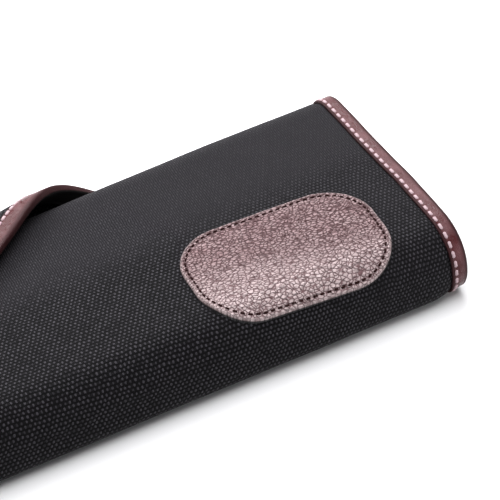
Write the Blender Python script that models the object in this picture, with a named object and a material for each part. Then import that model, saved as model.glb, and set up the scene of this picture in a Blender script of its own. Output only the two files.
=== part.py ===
"""A chef's knife roll, closed: a padded canvas panel wound flat round an open core, its edges bound
in leather, with a stitched leather patch and a tapered canvas flap that a stud holds shut.
It lies on its back as it would on a counter. X runs along the roll, -Y is its front, +Z is up, and
the origin is on the counter, in the middle of the roll's footprint. Sizes are in metres."""

from math import cos, pi, radians, sin, tan

import bmesh
import bpy
from mathutils import Vector

for leftover in list(bpy.data.objects):
    bpy.data.objects.remove(leftover, do_unlink=True)


# Fits
FIT_GAP = 0.0003
TURN_CLEARANCE = 0.0006

# The roll's outline, seen from its end: two flats joined by half rounds
ROLL_LENGTH = 0.450
FLAT_WIDTH = 0.101
CANVAS_HEIGHT = 0.0373

# The padded canvas panel
PANEL_THICKNESS = 0.003
TURNS = 2.25
FREE_EDGE_DEGREES = 100.0
RIDGE_DEGREES = 42.0
PADDING_STEP = 0.0006

# The folded leather bindings
LEATHER_THICKNESS = 0.0012
BINDING_PROUD = 0.0007
BINDING_WIDTH = 0.0097
BINDING_EDGE_ROUND = 0.0011

# The leather patch
PATCH_LENGTH = 0.0952
PATCH_WIDTH = 0.0636
PATCH_CORNER = 0.025
PATCH_THICKNESS = 0.002
PATCH_RIM_BEVEL = 0.0005
PATCH_FROM_END = 0.0745
PATCH_FROM_RIDGE = 0.0874
PATCH_TURN_DEGREES = 3.5

# The closing flap
FLAP_THICKNESS = 0.0024
FLAP_EDGE_DEGREES = 50.7
FLAP_BASE_DEGREES = 138.0
FLAP_REACH = 0.0484
FLAP_TIP_ROUND = 0.016
FLAP_LIFT = 0.002
FLAP_BINDING_WIDTH = 0.0097

# The stud that holds the flap
STUD_FROM_POINT = 0.029
STUD_CAP_RADIUS = 0.006
STUD_CAP_HEIGHT = 0.0026
STUD_POST_RADIUS = 0.0022
STUD_FLANGE_RADIUS = 0.005
STUD_FLANGE_HEIGHT = 0.0006

# Steps in curves
ROUND_STEPS = 14
FLAP_FLAT_STEPS = 4
FLAP_PATH_STEPS = 400
CORNER_STEPS = 8
EDGE_STEPS = 2
STUD_SIDES = 20
DOME_STEPS = 4

# What follows from those sizes
RADIUS = CANVAS_HEIGHT / 2
CENTER_Z = RADIUS + BINDING_PROUD
ROUND_LENGTH = pi * RADIUS
PERIMETER = 2 * (FLAT_WIDTH + ROUND_LENGTH)
PITCH = PANEL_THICKNESS + 2 * BINDING_PROUD + TURN_CLEARANCE
NECK_THICKNESS = PANEL_THICKNESS + 2 * (BINDING_PROUD - LEATHER_THICKNESS - FIT_GAP)
EDGE_TO_CANVAS = LEATHER_THICKNESS + FIT_GAP
PANEL_END = PERIMETER - ROUND_LENGTH * FREE_EDGE_DEGREES / 180
PANEL_START = PANEL_END - TURNS * PERIMETER
BINDING_END = PANEL_END + EDGE_TO_CANVAS
RISE_END = -ROUND_LENGTH * RIDGE_DEGREES / 180
RISE_START = BINDING_END + TURN_CLEARANCE - PERIMETER
HALF_LENGTH = ROLL_LENGTH / 2


def outline_point(along, outward):
    """(y, z) on the roll's outline, `along` it from the back of the flat top toward the front."""
    reach = RADIUS + outward
    along = along % PERIMETER
    if along < FLAT_WIDTH:
        return FLAT_WIDTH / 2 - along, CENTER_Z + reach
    along -= FLAT_WIDTH
    if along < ROUND_LENGTH:
        turn = along / RADIUS
        return -FLAT_WIDTH / 2 - reach * sin(turn), CENTER_Z + reach * cos(turn)
    along -= ROUND_LENGTH
    if along < FLAT_WIDTH:
        return along - FLAT_WIDTH / 2, CENTER_Z - reach
    turn = (along - FLAT_WIDTH) / RADIUS
    return FLAT_WIDTH / 2 + reach * sin(turn), CENTER_Z - reach * cos(turn)


def inset(along):
    """How far the wound panel lies inside the outline: one pitch more for each turn further in."""
    inward = RISE_END - along
    if inward <= 0:
        return 0.0
    turns, rest = divmod(inward, PERIMETER)
    share = min(rest / (RISE_END - RISE_START), 1.0)
    return PITCH * (turns + share * share * (3 - 2 * share))


def on_wrap(x, along, outward):
    """A point of the wound panel, `outward` from its outer face."""
    y, z = outline_point(along, outward - inset(along))
    return Vector((x, y, z))


def wrap_stations(start, end):
    """Lengths along the panel, from start to end, with a station at each step of its rounds."""
    one_turn = []
    for step in range(ROUND_STEPS + 1):
        share = step / ROUND_STEPS
        one_turn.append(FLAT_WIDTH + share * ROUND_LENGTH)
        one_turn.append(2 * FLAT_WIDTH + (1 + share) * ROUND_LENGTH)
    spacing = ROUND_LENGTH / ROUND_STEPS
    first_turn = int(start // PERIMETER)
    last_turn = int(end // PERIMETER)
    stations = [start]
    for turn in range(first_turn, last_turn + 1):
        for along in sorted(one_turn):
            place = along + turn * PERIMETER
            if place > stations[-1] + spacing / 4 and place < end - spacing / 4:
                stations.append(place)
    stations.append(end)
    return stations


def finish(name, colour, roughness, metallic=0.0):
    material = bpy.data.materials.new(name)
    material.use_nodes = True
    shader = material.node_tree.nodes["Principled BSDF"]
    shader.inputs["Base Color"].default_value = (*colour, 1.0)
    shader.inputs["Roughness"].default_value = roughness
    shader.inputs["Metallic"].default_value = metallic
    return material


def add_piece(name, work, material):
    """One closed solid from the bmesh `work`, under the roll's own empty."""
    bmesh.ops.recalc_face_normals(work, faces=work.faces)
    if work.calc_volume(signed=True) < 0:
        bmesh.ops.reverse_faces(work, faces=work.faces)
    mesh = bpy.data.meshes.new(name)
    work.to_mesh(mesh)
    work.free()
    mesh.materials.append(material)
    mesh.shade_smooth()
    mesh.set_sharp_from_angle(angle=radians(35))
    piece = bpy.data.objects.new(name, mesh)
    bpy.context.collection.objects.link(piece)
    piece.parent = roll
    return piece


def loft(rings):
    """A closed bmesh through rings of points, each ring with as many points, and its ends capped."""
    work = bmesh.new()
    rows = [[work.verts.new(point) for point in ring] for ring in rings]
    for lower, upper in zip(rows, rows[1:]):
        for corner in range(len(lower)):
            after = (corner + 1) % len(lower)
            work.faces.new((lower[corner], lower[after], upper[after], upper[corner]))
    work.faces.new(rows[0])
    work.faces.new(rows[-1])
    return work


def roll_up(work, stations, place):
    """Cuts a flat pattern in x and y across at each station, then lays it on its curved place."""
    for station in stations:
        whole = work.verts[:] + work.edges[:] + work.faces[:]
        cut_at = (0, station, 0)
        bmesh.ops.bisect_plane(work, geom=whole, dist=1e-6, plane_co=cut_at, plane_no=(0, 1, 0))
    for corner in work.verts:
        corner.co = place(*corner.co)


def binding_profile(width, thickness):
    """A folded leather strip in (inward, outward): outward counts from the outer canvas face."""
    top = BINDING_PROUD
    bottom = -thickness - BINDING_PROUD
    profile = [(width, top)]
    for step in range(EDGE_STEPS + 1):
        turn = pi / 2 * step / EDGE_STEPS
        fall = BINDING_EDGE_ROUND * (1 - cos(turn))
        profile.append((BINDING_EDGE_ROUND * (1 - sin(turn)), top - fall))
    for step in range(EDGE_STEPS + 1):
        turn = pi / 2 * step / EDGE_STEPS
        rise = BINDING_EDGE_ROUND * (1 - sin(turn))
        profile.append((BINDING_EDGE_ROUND * (1 - cos(turn)), bottom + rise))
    profile.append((width, bottom))
    profile.append((width, bottom + LEATHER_THICKNESS))
    profile.append((LEATHER_THICKNESS, bottom + LEATHER_THICKNESS))
    profile.append((LEATHER_THICKNESS, top - LEATHER_THICKNESS))
    profile.append((width, top - LEATHER_THICKNESS))
    return profile


canvas = finish("waxed_canvas", (0.030, 0.031, 0.034), 0.85)
leather = finish("brown_leather", (0.155, 0.062, 0.045), 0.5)
brass = finish("aged_brass", (0.55, 0.40, 0.20), 0.35, metallic=1.0)

roll = bpy.data.objects.new("knife_roll", None)
bpy.context.collection.objects.link(roll)


# Canvas wrap: the padding stops short of the edges, so that the bindings can close over them
def make_canvas_wrap():
    canvas_edge = HALF_LENGTH - EDGE_TO_CANVAS
    neck_edge = HALF_LENGTH - BINDING_WIDTH - FIT_GAP
    pad_edge = neck_edge - PADDING_STEP
    columns = [(-canvas_edge, True), (-neck_edge, True), (-pad_edge, False)]
    columns += [(pad_edge, False), (neck_edge, True), (canvas_edge, True)]
    neck_end = BINDING_END - BINDING_WIDTH - FIT_GAP
    pad_end = neck_end - PADDING_STEP
    rows = [(along, False) for along in wrap_stations(PANEL_START, pad_end)]
    rows += [(along, True) for along in wrap_stations(neck_end, PANEL_END)]
    recess = (PANEL_THICKNESS - NECK_THICKNESS) / 2

    work = bmesh.new()
    outer = []
    inner = []
    for along, narrow_row in rows:
        depths = [recess if narrow_row or narrow else 0.0 for _, narrow in columns]
        outer.append(
            [work.verts.new(on_wrap(x, along, -depth)) for (x, _), depth in zip(columns, depths)]
        )
        inner.append(
            [
                work.verts.new(on_wrap(x, along, depth - PANEL_THICKNESS))
                for (x, _), depth in zip(columns, depths)
            ]
        )
    last_column = len(columns) - 1
    last_row = len(rows) - 1
    for row in range(last_row):
        for column in range(last_column):
            for face in (outer, inner):
                corners = (
                    face[row][column],
                    face[row][column + 1],
                    face[row + 1][column + 1],
                    face[row + 1][column],
                )
                work.faces.new(corners)
        for column in (0, last_column):
            corners = (
                outer[row][column],
                outer[row + 1][column],
                inner[row + 1][column],
                inner[row][column],
            )
            work.faces.new(corners)
    for row in (0, last_row):
        for column in range(last_column):
            corners = (
                outer[row][column],
                outer[row][column + 1],
                inner[row][column + 1],
                inner[row][column],
            )
            work.faces.new(corners)
    add_piece("canvas_wrap", work, canvas)


# End bindings: one leather strip folded over each end of the panel, from its start to its free edge
def make_end_binding(name, side):
    profile = binding_profile(BINDING_WIDTH, PANEL_THICKNESS)
    rings = []
    for along in wrap_stations(PANEL_START, BINDING_END):
        rings.append(
            [on_wrap(side * (HALF_LENGTH - inward), along, out) for inward, out in profile]
        )
    add_piece(name, loft(rings), leather)


# Free edge binding: it lies low on the roll's back, between the two end bindings
def make_free_edge_binding():
    reach = HALF_LENGTH - BINDING_WIDTH - FIT_GAP
    work = loft(
        [
            [(x, BINDING_END - inward, out) for inward, out in
             binding_profile(BINDING_WIDTH, PANEL_THICKNESS)]
            for x in (-reach, reach)
        ]
    )
    stations = wrap_stations(BINDING_END - BINDING_WIDTH, BINDING_END)[1:-1]
    roll_up(work, stations, on_wrap)
    add_piece("binding_free_edge", work, leather)


# Leather patch: cut flat with wide round corners, sewn on where the flat top turns down to the front
def make_leather_patch():
    turned = radians(PATCH_TURN_DEGREES)
    outline = []
    for quarter in range(4):
        right = 1 if quarter in (0, 3) else -1
        front = 1 if quarter in (0, 1) else -1
        for step in range(CORNER_STEPS + 1):
            angle = (quarter + step / CORNER_STEPS) * pi / 2
            x = right * (PATCH_LENGTH / 2 - PATCH_CORNER) + PATCH_CORNER * cos(angle)
            y = front * (PATCH_WIDTH / 2 - PATCH_CORNER) + PATCH_CORNER * sin(angle)
            outline.append((x, y))
    center_x = HALF_LENGTH - PATCH_FROM_END
    work = bmesh.new()
    corners = []
    for x, y in outline:
        turned_x = x * cos(turned) - y * sin(turned)
        turned_y = x * sin(turned) + y * cos(turned)
        corners.append(work.verts.new((center_x + turned_x, PATCH_FROM_RIDGE + turned_y, FIT_GAP)))
    work.faces.new(corners)
    raised = bmesh.ops.extrude_face_region(work, geom=work.faces[:])["geom"]
    top_corners = [part for part in raised if isinstance(part, bmesh.types.BMVert)]
    bmesh.ops.translate(work, verts=top_corners, vec=(0, 0, PATCH_THICKNESS))
    top = FIT_GAP + PATCH_THICKNESS
    rim = [edge for edge in work.edges if all(end.co.z > top - FIT_GAP for end in edge.verts)]
    bmesh.ops.bevel(work, geom=rim, offset=PATCH_RIM_BEVEL, segments=1, affect="EDGES")
    reach = (PATCH_LENGTH + PATCH_WIDTH) / 2
    stations = wrap_stations(PATCH_FROM_RIDGE - reach, PATCH_FROM_RIDGE + reach)[1:-1]
    roll_up(work, stations, on_wrap)
    add_piece("leather_patch", work, leather)


# The flap's pattern is flat: x across the roll, y down from the point where its two edges would meet
FLAP_NECK = FLAP_THICKNESS + 2 * (BINDING_PROUD - LEATHER_THICKNESS - FIT_GAP)
FLAP_REST = FIT_GAP + 2 * BINDING_PROUD
FLAP_BASE_AT = ROUND_LENGTH * FLAP_BASE_DEGREES / 180
FLAP_FLAT_END = STUD_FROM_POINT + STUD_CAP_RADIUS - FLAP_REACH


def flap_gap(back):
    """The space under the flap's canvas, `back` from the rear of the flat top: it bellies at the ridge."""
    share = (back - FLAP_FLAT_END) / (FLAP_BASE_AT - FLAP_FLAT_END)
    share = min(max(share, 0.0), 1.0)
    return FLAP_REST + FLAP_LIFT * sin(pi * share) ** 2


def flap_path():
    """(length down the flap from its point, length back along the outline) in small steps."""
    step = (FLAP_BASE_AT + FLAP_REACH) / FLAP_PATH_STEPS
    down = 0.0
    path = [(down, -FLAP_REACH)]
    for count in range(FLAP_PATH_STEPS):
        middle = -FLAP_REACH + (count + 0.5) * step
        stretch = 1.0
        if middle > 0:
            stretch = 1 + (flap_gap(middle) + FLAP_THICKNESS / 2) / RADIUS
        down += step * stretch
        path.append((down, -FLAP_REACH + (count + 1) * step))
    return path


FLAP_PATH = flap_path()
FLAP_LENGTH = FLAP_PATH[-1][0]


def back_at(down):
    """Length back along the outline for a length down the flap."""
    for (start, back_start), (end, back_end) in zip(FLAP_PATH, FLAP_PATH[1:]):
        if down <= end:
            break
    return back_start + (back_end - back_start) * (down - start) / (end - start)


def on_flap(x, down, outward):
    """A point of the flap, `outward` from its outer canvas face."""
    back = back_at(down)
    return Vector((x, *outline_point(-back, flap_gap(back) + FLAP_THICKNESS + outward)))


def flap_stations():
    """Lengths down the flap, a station at each step of its lifted flat part and of its round."""
    backs = [-FLAP_REACH, FLAP_FLAT_END]
    for step in range(1, FLAP_FLAT_STEPS + 1):
        backs.append(FLAP_FLAT_END * (1 - step / FLAP_FLAT_STEPS))
    spacing = ROUND_LENGTH / ROUND_STEPS
    while backs[-1] + spacing < FLAP_BASE_AT:
        backs.append(backs[-1] + spacing)
    stations = []
    for back in backs:
        for (start, back_start), (end, back_end) in zip(FLAP_PATH, FLAP_PATH[1:]):
            if back_start < back <= back_end:
                stations.append(start + (end - start) * (back - back_start) / (back_end - back_start))
    return stations


def flap_outline(inward):
    """The flap's edge moved inward, from one end of its base round the tip to the other."""
    slant = radians(FLAP_EDGE_DEGREES)
    tip_round = FLAP_TIP_ROUND - inward
    tip_center = FLAP_TIP_ROUND / sin(slant)
    base_half = (FLAP_LENGTH - inward / sin(slant)) * tan(slant)
    points = [(-base_half, FLAP_LENGTH)]
    arc = pi / 2 - slant
    for step in range(CORNER_STEPS + 1):
        angle = arc * (2 * step / CORNER_STEPS - 1)
        points.append((tip_round * sin(angle), tip_center - tip_round * cos(angle)))
    points.append((base_half, FLAP_LENGTH))
    return points


# Closure flap: plain canvas, thinner at its edge where the binding closes over it
def make_closure_flap():
    recess = (FLAP_THICKNESS - FLAP_NECK) / 2
    steps = [
        (EDGE_TO_CANVAS, recess),
        (FLAP_BINDING_WIDTH + FIT_GAP, recess),
        (FLAP_BINDING_WIDTH + FIT_GAP + PADDING_STEP, 0.0),
    ]
    work = bmesh.new()
    top = []
    bottom = []
    for inward, depth in steps:
        points = flap_outline(inward)
        top.append([work.verts.new((*point, -depth)) for point in points])
        bottom.append([work.verts.new((*point, depth - FLAP_THICKNESS)) for point in points])
    for side in (top, bottom):
        for outer, inner in zip(side, side[1:]):
            for near in range(len(outer) - 1):
                corners = (outer[near], outer[near + 1], inner[near + 1], inner[near])
                work.faces.new(corners)
        work.faces.new(side[-1])
    for near in range(len(top[0]) - 1):
        work.faces.new((top[0][near], top[0][near + 1], bottom[0][near + 1], bottom[0][near]))
    base = [row[0] for row in top] + [row[-1] for row in reversed(top)]
    base += [row[-1] for row in bottom] + [row[0] for row in reversed(bottom)]
    work.faces.new(base)
    roll_up(work, flap_stations(), on_flap)
    flap = add_piece("closure_flap", work, canvas)

    bpy.ops.mesh.primitive_cylinder_add(
        vertices=STUD_SIDES,
        radius=STUD_POST_RADIUS + FIT_GAP,
        depth=4 * (FLAP_THICKNESS + FLAP_REST),
        location=(0, STUD_Y, STUD_BASE_Z),
    )
    cutter = bpy.context.object
    cutter.name = "stud_hole_cutter"
    cutter.parent = roll
    cutter.hide_render = True
    cutter.display_type = "WIRE"
    hole = flap.modifiers.new("stud_hole", "BOOLEAN")
    hole.operation = "DIFFERENCE"
    hole.solver = "EXACT"
    hole.object = cutter


# Flap binding: a wider leather strip folded over the flap's two slanted edges and its tip
def make_flap_binding():
    profile = binding_profile(FLAP_BINDING_WIDTH, FLAP_THICKNESS)
    outlines = [flap_outline(inward) for inward, _ in profile]
    rings = []
    for near in range(len(outlines[0])):
        rings.append([(*edge[near], out) for edge, (_, out) in zip(outlines, profile)])
    work = loft(rings)
    roll_up(work, flap_stations(), on_flap)
    add_piece("flap_binding", work, leather)


# Closure stud: its flange sits on the wrap, its post passes the flap and its domed cap holds it
STUD_Y = FLAT_WIDTH / 2 - FLAP_REACH + STUD_FROM_POINT
STUD_BASE_Z = CENTER_Z + RADIUS + FIT_GAP


def make_closure_stud():
    cap_z = FLAP_REST + FLAP_THICKNESS
    side = [(0.0, 0.0), (STUD_FLANGE_RADIUS, 0.0), (STUD_FLANGE_RADIUS, STUD_FLANGE_HEIGHT)]
    side += [(STUD_POST_RADIUS, STUD_FLANGE_HEIGHT), (STUD_POST_RADIUS, cap_z)]
    for step in range(DOME_STEPS):
        turn = pi / 2 * step / DOME_STEPS
        side.append((STUD_CAP_RADIUS * cos(turn), cap_z + STUD_CAP_HEIGHT * sin(turn)))
    side.append((0.0, cap_z + STUD_CAP_HEIGHT))
    work = bmesh.new()
    corners = [work.verts.new((radius, 0, height)) for radius, height in side]
    profile = [work.edges.new(pair) for pair in zip(corners, corners[1:])]
    bmesh.ops.spin(
        work,
        geom=corners + profile,
        cent=(0, 0, 0),
        axis=(0, 0, 1),
        angle=2 * pi,
        steps=STUD_SIDES,
        use_merge=True,
    )
    bmesh.ops.remove_doubles(work, verts=work.verts, dist=1e-6)
    stud = add_piece("closure_stud", work, brass)
    stud.location = (0, STUD_Y, STUD_BASE_Z)


make_canvas_wrap()
make_end_binding("binding_right", 1)
make_end_binding("binding_left", -1)
make_free_edge_binding()
make_leather_patch()
make_closure_flap()
make_flap_binding()
make_closure_stud()

# The flap widens the roll's back, so the empty moves all of it until its footprint is centred
bpy.context.view_layer.update()
reaches = [
    (piece.matrix_world @ corner.co).y
    for piece in bpy.data.objects
    if piece.type == "MESH" and not piece.hide_render
    for corner in piece.data.vertices
]
roll.location.y = -(min(reaches) + max(reaches)) / 2
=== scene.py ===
"""The looks of a closed chef's knife roll: wound charcoal canvas, folded leather bindings with pale
stitches, a pebbled leather patch, and the flap that a stud holds shut. It is laid on a white floor
and seen from the front, a little to the left and above. Everything is in metres."""

from math import atan2, cos, exp, floor, hypot, pi, radians, sin, sqrt, tan

import bpy
import numpy as np
from mathutils import Matrix, Vector, noise


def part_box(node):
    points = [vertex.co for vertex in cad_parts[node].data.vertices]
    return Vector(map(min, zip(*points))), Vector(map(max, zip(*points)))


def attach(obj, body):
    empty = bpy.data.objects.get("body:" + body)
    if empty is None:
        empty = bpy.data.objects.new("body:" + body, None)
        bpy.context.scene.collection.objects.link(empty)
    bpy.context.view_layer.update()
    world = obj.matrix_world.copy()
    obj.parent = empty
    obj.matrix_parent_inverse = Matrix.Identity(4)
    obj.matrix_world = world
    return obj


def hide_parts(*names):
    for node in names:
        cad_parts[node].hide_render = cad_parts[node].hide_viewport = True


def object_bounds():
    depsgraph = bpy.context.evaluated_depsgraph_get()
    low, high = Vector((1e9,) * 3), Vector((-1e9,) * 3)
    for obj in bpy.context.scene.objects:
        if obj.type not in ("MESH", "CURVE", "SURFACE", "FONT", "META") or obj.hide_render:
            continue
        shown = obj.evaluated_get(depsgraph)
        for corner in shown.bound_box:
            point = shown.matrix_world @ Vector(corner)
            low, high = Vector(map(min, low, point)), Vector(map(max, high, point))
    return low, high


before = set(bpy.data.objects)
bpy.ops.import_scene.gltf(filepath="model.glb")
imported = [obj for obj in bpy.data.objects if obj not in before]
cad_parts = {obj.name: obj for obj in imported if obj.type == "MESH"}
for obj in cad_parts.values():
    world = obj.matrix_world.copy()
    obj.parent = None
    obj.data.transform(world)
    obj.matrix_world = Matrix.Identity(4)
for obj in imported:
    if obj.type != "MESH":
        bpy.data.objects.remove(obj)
cad_low, cad_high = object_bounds()
bpy.ops.object.select_all(action="DESELECT")


# Canvas panel
# One long panel of padded charcoal canvas, wound flat round an open core as the roll closes. Its
# cloth is laid out flat first, with its grain as the UV map, then wound up and given its padding.
FLAT_WIDTH = 0.1026
PANEL_THICKNESS = 0.003
TURNS = 2.25
FREE_EDGE_DEGREES = 100.0
RIDGE_DEGREES = 42.0
TURN_CLEARANCE = 0.0006
LEATHER_THICKNESS = 0.0012
BINDING_PROUD = 0.0007
BINDING_WIDTH = 0.0086
FIT_GAP = 0.0003

wrap_low, wrap_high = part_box("canvas_wrap")
HALF_LENGTH = cad_high.x
RADIUS = (wrap_high.z - wrap_low.z) / 2
CENTER_Z = (wrap_high.z + wrap_low.z) / 2
CENTER_Y = wrap_low.y + RADIUS + FLAT_WIDTH / 2
ROUND_LENGTH = pi * RADIUS
PERIMETER = 2 * (FLAT_WIDTH + ROUND_LENGTH)
PITCH = PANEL_THICKNESS + 2 * BINDING_PROUD + TURN_CLEARANCE
EDGE_TO_CANVAS = LEATHER_THICKNESS + FIT_GAP
PANEL_END = PERIMETER - ROUND_LENGTH * FREE_EDGE_DEGREES / 180
PANEL_START = PANEL_END - TURNS * PERIMETER
BINDING_END = PANEL_END + EDGE_TO_CANVAS
RISE_END = -ROUND_LENGTH * RIDGE_DEGREES / 180
RISE_START = BINDING_END + TURN_CLEARANCE - PERIMETER

RIDGE_SAG = 0.0042
SAG_REACH = 0.13
FULL_FRONT = 0.20
FULL_END = 0.04
END_BULGE = 0.0011
END_HUMP = 0.0007
END_HUMP_AT = 0.07
END_WAVE = 0.0003
END_UNEVEN = 0.02
BULGE_FROM_END = 0.026
BULGE_FULL_FROM_END = 0.011
SLACK_DEPTH = 0.00035
SLACK_SIZE = 0.045
LIES_ON_FLOOR = 0.045
CLEAR_OF_FLOOR = 0.075
CLOTH_COLUMNS = 110
CLOTH_ROWS = 300
NECK_SHARE = 0.42
NECK_START = -0.0004
NECK_END = 0.0022


def outline_point(along, outward):
    """(y, z) on the roll's outline, `along` it from the back of the flat top toward the front."""
    reach = RADIUS + outward
    along = along % PERIMETER
    if along < FLAT_WIDTH:
        return CENTER_Y + FLAT_WIDTH / 2 - along, CENTER_Z + reach
    along -= FLAT_WIDTH
    if along < ROUND_LENGTH:
        turn = along / RADIUS
        return CENTER_Y - FLAT_WIDTH / 2 - reach * sin(turn), CENTER_Z + reach * cos(turn)
    along -= ROUND_LENGTH
    if along < FLAT_WIDTH:
        return CENTER_Y + along - FLAT_WIDTH / 2, CENTER_Z - reach
    turn = (along - FLAT_WIDTH) / RADIUS
    return CENTER_Y + FLAT_WIDTH / 2 + reach * sin(turn), CENTER_Z - reach * cos(turn)


def inset(along):
    """How far the wound panel lies inside the outline: one pitch more for each turn further in."""
    inward = RISE_END - along
    if inward <= 0:
        return 0.0
    turns, rest = divmod(inward, PERIMETER)
    share = min(rest / (RISE_END - RISE_START), 1.0)
    return PITCH * (turns + share * share * (3 - 2 * share))


def smooth_share(value, start, end):
    """0 at start and before it, 1 at end and past it, smooth between."""
    share = min(max((value - start) / (end - start), 0.0), 1.0)
    return share * share * (3 - 2 * share)


def ridge_sag(x, y, z):
    """How far the back ridge sinks under the closed flap, most at the roll's middle."""
    toward_back = smooth_share(y, CENTER_Y - FLAT_WIDTH * 0.4, CENTER_Y + FLAT_WIDTH * 0.5)
    return RIDGE_SAG * exp(-((x / SAG_REACH) ** 2)) * toward_back * z / (CENTER_Z + RADIUS)


def settled(x, y, z):
    """A point of the roll once it has settled: sunk at its back ridge, full at its lower front."""
    front = CENTER_Y - FLAT_WIDTH / 2 - y
    low = CENTER_Z - z
    if front > 0 and low > 0:
        full = FULL_END + (FULL_FRONT - FULL_END) * smooth_share(HALF_LENGTH - abs(x), 0.0, 0.018)
        fuller = 1 + full * sin(2 * atan2(low, front)) ** 2
        y = CENTER_Y - FLAT_WIDTH / 2 - front * fuller
        z = CENTER_Z - low * fuller
    return Vector((x, y, z - ridge_sag(x, y, z)))


def end_bulge(along):
    """How far the panel's bound end stands out past its plain length, more on the flat top."""
    wave = END_WAVE * noise.noise(Vector((along / END_UNEVEN, 3.1, 0.0)))
    return END_BULGE + END_HUMP * exp(-(((along - END_HUMP_AT) / END_UNEVEN) ** 2)) + wave


def wound(x, along, outward):
    """A point of the wound panel, `outward` from its outer face, with the cloth's slight slack."""
    place = Vector((x / SLACK_SIZE, along / SLACK_SIZE, 0.0))
    from_underside = abs(along - PERIMETER * 0.5 - FLAT_WIDTH * 0.5)
    slack = SLACK_DEPTH * noise.noise(place) * smooth_share(from_underside, LIES_ON_FLOOR, CLEAR_OF_FLOOR)
    y, z = outline_point(along, outward + slack - inset(along))
    bulge_start = HALF_LENGTH - BULGE_FROM_END
    bulge = end_bulge(along) * smooth_share(abs(x), bulge_start, HALF_LENGTH - BULGE_FULL_FROM_END)
    return settled(x + (bulge if x > 0 else -bulge), y, z)


def cloth_grid(name, columns, rows, place):
    """A grid of cloth with a row of points for each of `rows`. place(column, row) gives where a point
    lies and where it is in the flat pattern, in metres, which becomes the UV map."""
    last_column = len(columns) - 1
    last_row = len(rows) - 1
    bpy.ops.mesh.primitive_grid_add(
        x_subdivisions=last_column, y_subdivisions=last_row, size=1, calc_uvs=True
    )
    piece = bpy.context.object
    piece.name = name
    mesh = piece.data
    mesh.name = name
    flat = []
    for corner in mesh.vertices:
        column = min(round((corner.co.x + 0.5) * last_column), last_column)
        row = min(round((corner.co.y + 0.5) * last_row), last_row)
        corner.co, pattern = place(columns[column], rows[row])
        flat.append(pattern)
    uv = mesh.uv_layers.active
    uv.name = "pattern"
    for loop in mesh.loops:
        uv.data[loop.index].uv = flat[loop.vertex_index]
    return piece


def apply_modifiers(piece):
    """Makes the piece's modifiers part of its mesh, in their order."""
    bpy.ops.object.select_all(action="DESELECT")
    bpy.context.view_layer.objects.active = piece
    piece.select_set(True)
    for modifier in list(piece.modifiers):
        bpy.ops.object.modifier_apply(modifier=modifier.name)


def face_out(piece, smooth_degrees):
    """Turns the piece's faces outward and shades it smooth up to that angle."""
    bpy.ops.object.select_all(action="DESELECT")
    bpy.context.view_layer.objects.active = piece
    piece.select_set(True)
    bpy.ops.object.mode_set(mode="EDIT")
    bpy.ops.mesh.select_all(action="SELECT")
    bpy.ops.mesh.normals_make_consistent(inside=False)
    bpy.ops.object.mode_set(mode="OBJECT")
    bpy.ops.object.shade_smooth_by_angle(angle=radians(smooth_degrees))
    piece.select_set(False)


edge = HALF_LENGTH - EDGE_TO_CANVAS
seam = HALF_LENGTH - BINDING_WIDTH
near_seam = [edge, seam + 0.001, seam, seam - 0.0008, seam - 0.002, seam - 0.0045]
inner_columns = np.linspace(-seam + 0.008, seam - 0.008, CLOTH_COLUMNS)
cloth_columns = [-x for x in near_seam] + list(inner_columns) + near_seam[::-1]
free_seam = BINDING_END - BINDING_WIDTH
cloth_rows = list(np.linspace(PANEL_START, free_seam - 0.003, CLOTH_ROWS))
cloth_rows += [free_seam - 0.0008, free_seam, free_seam + 0.001, PANEL_END]


def padding_left(x, along):
    """The share of the padding's thickness that is left: it stops where the bindings close on it."""
    from_end = HALF_LENGTH - abs(x)
    from_free_edge = BINDING_END - along
    reach = min(from_end, from_free_edge) - BINDING_WIDTH
    return NECK_SHARE + (1 - NECK_SHARE) * smooth_share(reach, NECK_START, NECK_END)


canvas_panel = cloth_grid(
    "canvas_panel",
    cloth_columns,
    cloth_rows,
    lambda x, along: (wound(x, along, -PANEL_THICKNESS / 2), (x, along)),
)
padding = canvas_panel.vertex_groups.new(name="padding")
for corner in canvas_panel.data.vertices:
    x = cloth_columns[corner.index % len(cloth_columns)]
    along = cloth_rows[corner.index // len(cloth_columns)]
    padding.add([corner.index], padding_left(x, along), "REPLACE")
thicken = canvas_panel.modifiers.new("padding", "SOLIDIFY")
thicken.thickness = PANEL_THICKNESS
thicken.offset = 0.0
thicken.vertex_group = "padding"
apply_modifiers(canvas_panel)
face_out(canvas_panel, 50)


def add_node(tree, kind, **settings):
    made = tree.nodes.new(kind)
    for setting, value in settings.items():
        setattr(made, setting, value)
    return made


def feed(tree, socket, value):
    """Links a socket, or sets it where the value is plain."""
    if isinstance(value, bpy.types.NodeSocket):
        tree.links.new(value, socket)
    else:
        socket.default_value = value


def calc(tree, operation, *values):
    """A Math node's result."""
    made = add_node(tree, "ShaderNodeMath", operation=operation)
    for socket, value in zip(made.inputs, values):
        feed(tree, socket, value)
    return made.outputs[0]


def blend(tree, share, first, second):
    """A colour mixed from two by share."""
    made = add_node(tree, "ShaderNodeMix", data_type="RGBA")
    feed(tree, made.inputs["Factor"], share)
    feed(tree, made.inputs["A"], first)
    feed(tree, made.inputs["B"], second)
    return made.outputs["Result"]


def ranged(tree, value, low, high, new_low, new_high):
    """The value's smooth way from low to high, as a way from new_low to new_high."""
    made = add_node(tree, "ShaderNodeMapRange", interpolation_type="SMOOTHSTEP")
    for name, number in (("From Min", low), ("From Max", high), ("To Min", new_low), ("To Max", new_high)):
        made.inputs[name].default_value = number
    feed(tree, made.inputs["Value"], value)
    return made.outputs["Result"]


def new_material(name, roughness):
    material = bpy.data.materials.new(name)
    material.use_nodes = True
    shader = material.node_tree.nodes["Principled BSDF"]
    shader.inputs["Roughness"].default_value = roughness
    return material, material.node_tree, shader


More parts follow.
